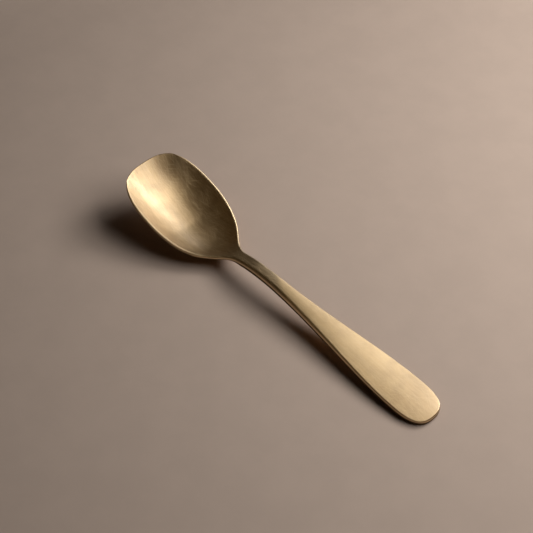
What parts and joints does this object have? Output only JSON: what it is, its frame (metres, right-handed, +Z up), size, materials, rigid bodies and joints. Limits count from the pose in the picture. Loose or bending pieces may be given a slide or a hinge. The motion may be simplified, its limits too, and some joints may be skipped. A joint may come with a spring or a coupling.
{
  "type": "ice cream spoon",
  "caption": "Ice cream spoon with a square-tipped dished bowl, a slim round neck and a flat handle that widens to a rounded end, in satin brass.",
  "frame": {"origin": "middle of the bounding box on the surface the spoon lies on", "axes": "+X from the bowl's tip to the handle's end, +Z up out of the bowl, mirror plane y = 0"},
  "size_m": [0.14, 0.0302, 0.0178],
  "materials": {
    "brass": "satin, brushed along the spoon"
  },
  "bodies": {
    "root": {"bowl": "brass", "neck": "brass", "handle": "brass"}
  },
  "joints": []
}
